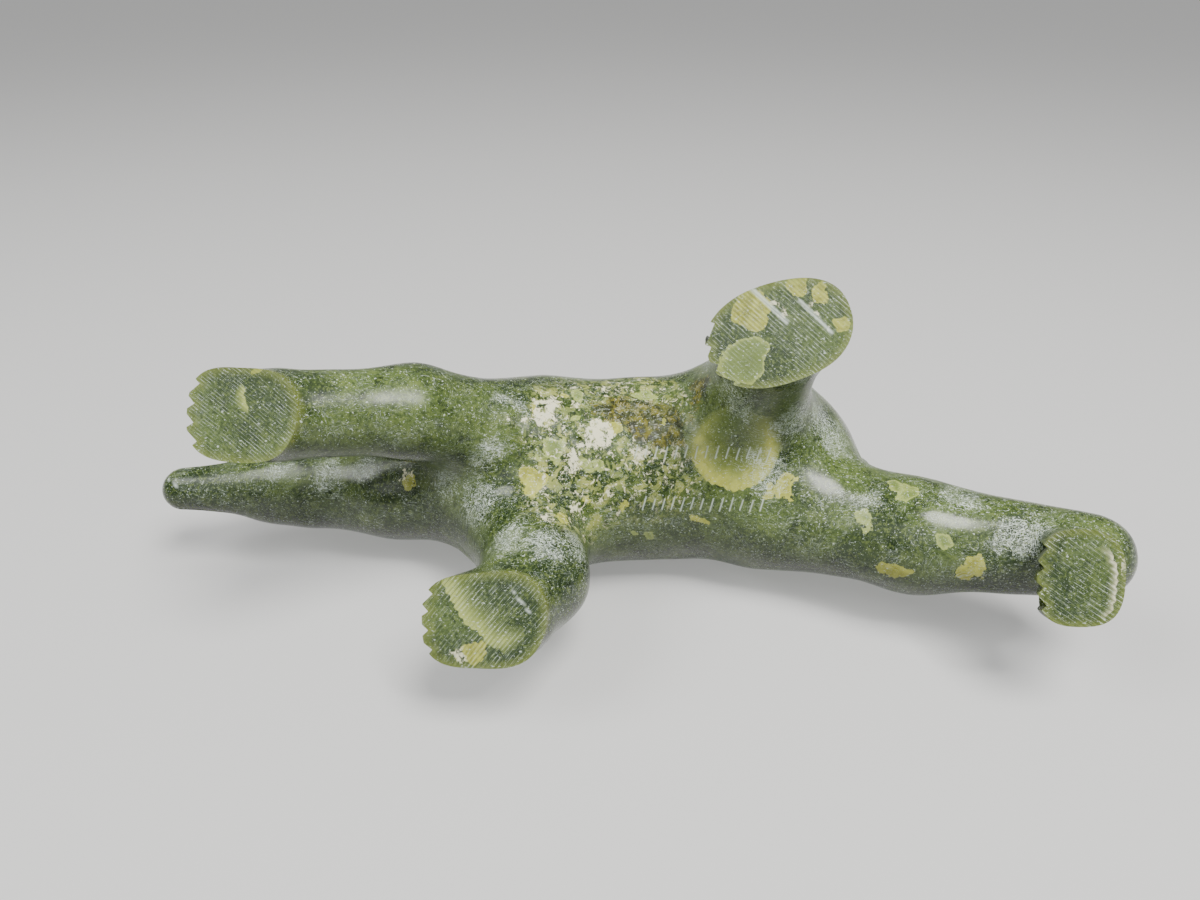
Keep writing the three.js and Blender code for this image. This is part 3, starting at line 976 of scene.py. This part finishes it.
    n.put(out.inputs["Grain"], n.math("MULTIPLY", speckled, n.ramp(small, 0.35, 0.6, 0.5, 1)))
    height = n.math("SUBTRACT", n.math("MULTIPLY", small, 0.35), n.math("MULTIPLY", chalk, 0.3))
    n.put(out.inputs["Height"], height)
    return n.tree


def strokes_group():
    """File strokes on a sole: pale crests, broken along their length, and where the troughs lie, for painted
    shade in them.
    """
    n, given, out = new_group("file_strokes", [("Spacing", F, 1.0)], [("Crest", F), ("TroughShade", F)])
    turns = n.math("MULTIPLY", n.value("stroke_turns"), given.outputs["Spacing"])
    ripple = n.math("ABSOLUTE", n.math("SUBTRACT", n.math("MULTIPLY", n.math("FRACT", turns), 2.0), 1.0))
    place = n.add("CombineXYZ")
    n.put(place.inputs["X"], n.math("MULTIPLY", n.math("FLOOR", n.math("ADD", turns, 0.5)), 5.3))
    n.put(place.inputs["Y"], n.math("MULTIPLY", n.value("stroke_run"), 0.3))
    n.put(place.inputs["Z"], given.outputs["Spacing"])
    broken = n.noise(place.outputs["Vector"], 1.0, 3.0, 0.6)
    width = n.ramp(broken, 0.42, 0.68, 0.0, 0.2)
    crest = n.ramp(n.math("SUBTRACT", ripple, width), -0.08, 0.06, 1, 0)
    n.put(out.inputs["Crest"], n.math("MULTIPLY", crest, n.ramp(broken, 0.42, 0.56)))
    n.put(out.inputs["TroughShade"], n.ramp(ripple, 0.55, 0.95))
    return n.tree


def stone_material(name, stone, sole, strokes=None):
    material = bpy.data.materials.new(name)
    material.use_nodes = True
    tree = material.node_tree
    tree.nodes.clear()
    n = Nodes(tree)
    shader = n.add("BsdfPrincipled")
    n.put(n.add("OutputMaterial").inputs["Surface"], shader.outputs["BSDF"])
    at = n.add("TexCoord").outputs["Object"]
    group = n.add("Group")
    group.node_tree = stone
    n.put(group.inputs["Vector"], at)
    group.inputs["Scratches"].default_value = 0.2 if sole else 0.75
    colour, chalk, height = (group.outputs[k] for k in ("Color", "Chalk", "Height"))
    bump = n.add("Bump")
    if sole:
        worn = n.noise(at, 300, 4, 0.65)
        marks = n.add("Group")
        marks.node_tree = strokes
        marks.inputs["Spacing"].default_value = 1.0
        fine_marks = n.add("Group")
        fine_marks.node_tree = strokes
        fine_marks.inputs["Spacing"].default_value = 2.3
        crest, trough_shade = marks.outputs["Crest"], marks.outputs["TroughShade"]
        rub = n.math("MAXIMUM", crest, n.math("MULTIPLY", fine_marks.outputs["Crest"], 0.5))
        pressed = n.ramp(n.noise(at, 75, 3, 0.5), 0.38, 0.62, 0.35, 1)
        # Painted shade: the troughs of the file strokes are darkened as if shade lay in the grooves.
        colour = n.mix(n.math("MULTIPLY", trough_shade, n.math("MULTIPLY", pressed, 0.5)), colour, DARK_GREEN)
        colour = n.mix(0.12, colour, DARK_GREEN)
        colour = n.mix(n.math("MULTIPLY", rub, n.math("MULTIPLY", pressed, 0.6)), colour, CHALK)
        rough = n.ramp(worn, 0.3, 0.7, 0.42, 0.62)
        bump.inputs["Distance"].default_value = 0.00018
        bump.inputs["Strength"].default_value = 0.8
    else:
        smear = n.noise(at, 30, 5, 0.6)
        rough = n.math("ADD", n.ramp(smear, 0.38, 0.64, 0.13, 0.38), n.math("MULTIPLY", chalk, 0.3))
        rough = n.math("ADD", rough, n.math("MULTIPLY", group.outputs["Grain"], 0.3), clamp=True)
        bump.inputs["Distance"].default_value = 0.00012
        bump.inputs["Strength"].default_value = 0.45
    n.put(bump.inputs["Height"], height)
    n.put(shader.inputs["Base Color"], colour)
    n.put(shader.inputs["Roughness"], rough)
    n.put(shader.inputs["Normal"], bump.outputs["Normal"])
    shader.inputs["IOR"].default_value = 1.54
    shine = 0.3 if sole else n.math("SUBTRACT", 0.4, n.math("MULTIPLY", group.outputs["Grain"], 0.33))
    n.put(shader.inputs["Specular IOR Level"], shine)
    return material


def plain_material(name, colour, rough=0.8, glow=0.0):
    material = bpy.data.materials.new(name)
    material.use_nodes = True
    shader = material.node_tree.nodes["Principled BSDF"]
    shader.inputs["Base Color"].default_value = (*colour, 1)
    shader.inputs["Roughness"].default_value = rough
    shader.inputs["Emission Color"].default_value = (*colour, 1)
    shader.inputs["Emission Strength"].default_value = glow
    return material


def seen_only(material, build):
    """Makes a stage surface clear wherever the built mask is 0."""
    n = Nodes(material.node_tree)
    shader = material.node_tree.nodes["Principled BSDF"]
    out = next(node for node in material.node_tree.nodes if node.type == "OUTPUT_MATERIAL")
    clear = n.add("BsdfTransparent")
    mix = n.add("MixShader")
    n.put(mix.inputs[0], build(n))
    n.put(mix.inputs[1], clear.outputs[0])
    n.put(mix.inputs[2], shader.outputs[0])
    n.put(out.inputs["Surface"], mix.outputs[0])


# ---------------------------------------------------------------------------
# The piece.
# ---------------------------------------------------------------------------
bear_object = bpy.data.objects.new("bear_carving_stone", carve())
bpy.context.scene.collection.objects.link(bear_object)
scratches = scratches_group()
stone = stone_group(scratches)
bear_object.data.materials.append(stone_material("polished_serpentine", stone, False))
bear_object.data.materials.append(stone_material("filed_serpentine", stone, True, strokes_group()))
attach(bear_object, "root")
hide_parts("bear_carving")

# ---------------------------------------------------------------------------
# Stage: the carving stands on the plane z = 0, and it can also be looked at
# lying on its back and right flank, which shows the soles and the belly.
# ---------------------------------------------------------------------------
TILT = math.radians(32.7)
UP = Vector((math.cos(TILT), 0, -math.sin(TILT)))
SIDE = Vector((0, 1, 0))
PALE_FLOOR = (0.52, 0.52, 0.515)
FLOOR_GLOW = 0.55  # keeps the far floor as pale as the near floor


def disc(name, centre, normal, radius, material, unseen_by=()):
    bm = bmesh.new()
    bmesh.ops.create_circle(bm, cap_ends=True, segments=96, radius=radius)
    mesh = bpy.data.meshes.new(name)
    bm.to_mesh(mesh)
    bm.free()
    ob = bpy.data.objects.new(name, mesh)
    turn = Vector((0, 0, 1)).rotation_difference(normal).to_matrix().to_4x4()
    ob.matrix_world = Matrix.Translation(centre) @ turn
    mesh.materials.append(material)
    bpy.context.scene.collection.objects.link(ob)
    for way in unseen_by:
        setattr(ob, "visible_" + way, False)
    return ob


CLEAR_PANES = 4  # in front of the camera
PANE_START, PANE_STEP, PANE_RADIUS = 0.03, 0.003, 0.06


def from_the_front(n, through_pane):
    """1 for what looks at the front of a floor, either through the clear panes or not."""
    front = n.math("SUBTRACT", 1.0, n.add("NewGeometry").outputs["Backfacing"])
    kind = "GREATER_THAN" if through_pane else "LESS_THAN"
    depth = n.math(kind, n.add("LightPath").outputs["Transparent Depth"], CLEAR_PANES - 1.5)
    return n.math("MULTIPLY", front, depth)


standing = plain_material("standing_floor", PALE_FLOOR, glow=FLOOR_GLOW)
seen_only(standing, lambda n: from_the_front(n, False))
disc("standing_floor", (0, 0, -0.0002), Vector((0, 0, 1)), 4, standing)

lying = plain_material("lying_floor", PALE_FLOOR, glow=FLOOR_GLOW)
seen_only(lying, lambda n: from_the_front(n, True))
rest = min(UP.dot(v.co) for v in bear_object.data.vertices)
disc("lying_floor", UP * (rest - 0.0003), UP, 12, lying, unseen_by=("diffuse",))

pane = bpy.data.materials.new("clear_pane")
pane.use_nodes = True
pane.node_tree.nodes.clear()
clear_nodes = Nodes(pane.node_tree)
clear_nodes.put(
    clear_nodes.add("OutputMaterial").inputs["Surface"], clear_nodes.add("BsdfTransparent").outputs[0]
)
CAMERA = Vector((0.00712, -0.00064, -0.240))
for i in range(CLEAR_PANES):
    ahead = Vector((0, 0, PANE_START + PANE_STEP * i))
    unseen_by = ("diffuse", "glossy", "transmission", "shadow")
    disc(f"clear_pane_{i}", CAMERA + ahead, Vector((0, 0, -1)), PANE_RADIUS, pane, unseen_by=unseen_by)


def area_light(name, direction, distance, size, power, colour=(1, 1, 1)):
    light = bpy.data.lights.new(name, "AREA")
    light.shape = "DISK"
    light.size = size
    light.energy = power
    light.color = colour
    ob = bpy.data.objects.new(name, light)
    toward = Vector(direction).normalized()
    ob.location = Vector((0, 0, 0.05)) + toward * distance
    ob.rotation_euler = toward.to_track_quat("Z", "Y").to_euler()
    bpy.context.scene.collection.objects.link(ob)


area_light("key", UP * 0.75 + SIDE * 0.25 + Vector((0, 0, -0.33)), 1.1, 0.5, 15, (1, 0.985, 0.95))
area_light("sparkle", UP * 0.55 + SIDE * 0.45 + Vector((0, 0, -0.5)), 1.1, 0.12, 2.6)
area_light("side", UP * 0.75 - SIDE * 0.8 + Vector((0, 0, -0.3)), 1.2, 0.6, 7)
area_light("fill", UP * 0.1 - SIDE * 0.3 + Vector((0, 0, -1)), 1.4, 0.9, 3)
area_light("top", (0.1, -0.2, 1), 1.5, 1.2, 22)
area_light("window", (0.1, -0.75, 0.8), 1.5, 0.4, 9)
area_light("back", (-0.1, 0.9, 0.7), 1.3, 0.7, 6)
area_light("right", (-0.9, 0.1, 0.7), 1.5, 0.9, 6)

world = bpy.data.worlds.new("studio")
bpy.context.scene.world = world
world.use_nodes = True
sky = Nodes(world.node_tree)
background = world.node_tree.nodes["Background"]
background.inputs["Color"].default_value = (0.9, 0.9, 0.9, 1)
path = sky.add("LightPath").outputs
glossy = sky.math("MULTIPLY", path["Is Glossy Ray"], 0.05)
seen = sky.ramp(path["Is Camera Ray"], 0, 1, 0.24, 0.8)
sky.put(background.inputs["Strength"], sky.math("ADD", seen, glossy))

camera_data = bpy.data.cameras.new("camera")
camera_data.sensor_width = 36
camera_data.lens = 24
camera_data.clip_start = 0.01
camera = bpy.data.objects.new("camera", camera_data)
camera.matrix_world = Matrix(
    ((0, 1, 0, CAMERA.x), (1, 0, 0, CAMERA.y), (0, 0, -1, CAMERA.z), (0, 0, 0, 1))
)
bpy.context.scene.collection.objects.link(camera)
bpy.context.scene.camera = camera
